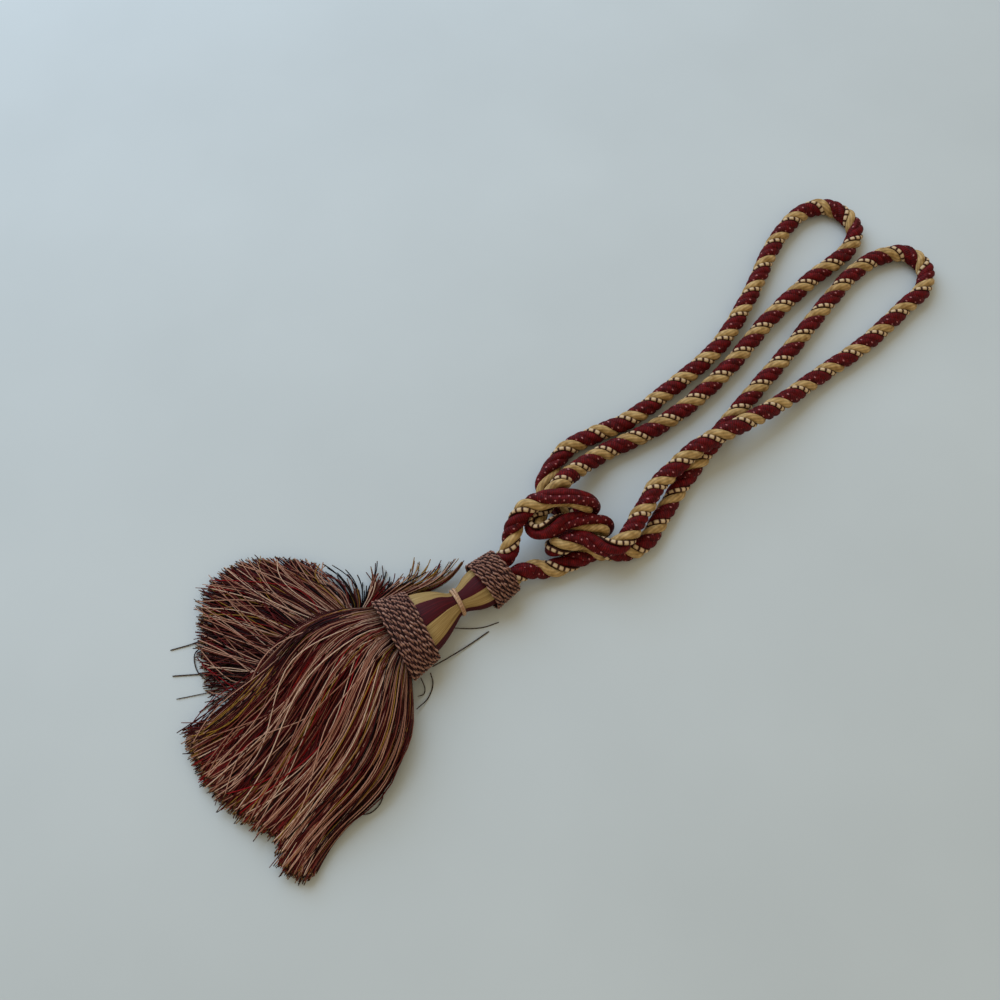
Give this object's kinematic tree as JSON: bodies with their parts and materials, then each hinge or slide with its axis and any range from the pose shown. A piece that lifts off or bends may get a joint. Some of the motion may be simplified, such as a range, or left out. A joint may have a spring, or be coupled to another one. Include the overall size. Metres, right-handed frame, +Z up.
{
  "type": "curtain tieback tassel",
  "caption": "Curtain tieback: long loops of burgundy and beige twisted rope, knotted above a tassel with a wound head and a spread skirt of cut threads.",
  "frame": {"origin": "on the table under the middle of the tassel's box, without the rope", "axes": "+X from the skirt through the head towards the rope's loops, +Z up from the table, +Y to the left of +X"},
  "size_m": [0.5334, 0.1728, 0.0336],
  "materials": {
    "rope": "satin",
    "wound_cord": "matte",
    "satin": "satin",
    "tie": "satin",
    "skirt": "satin"
  },
  "bodies": {
    "root": {"rope": "rope", "head_band": "wound_cord", "neck": "satin", "waist_tie": "tie", "collar": "wound_cord", "skirt": "skirt"}
  },
  "joints": []
}
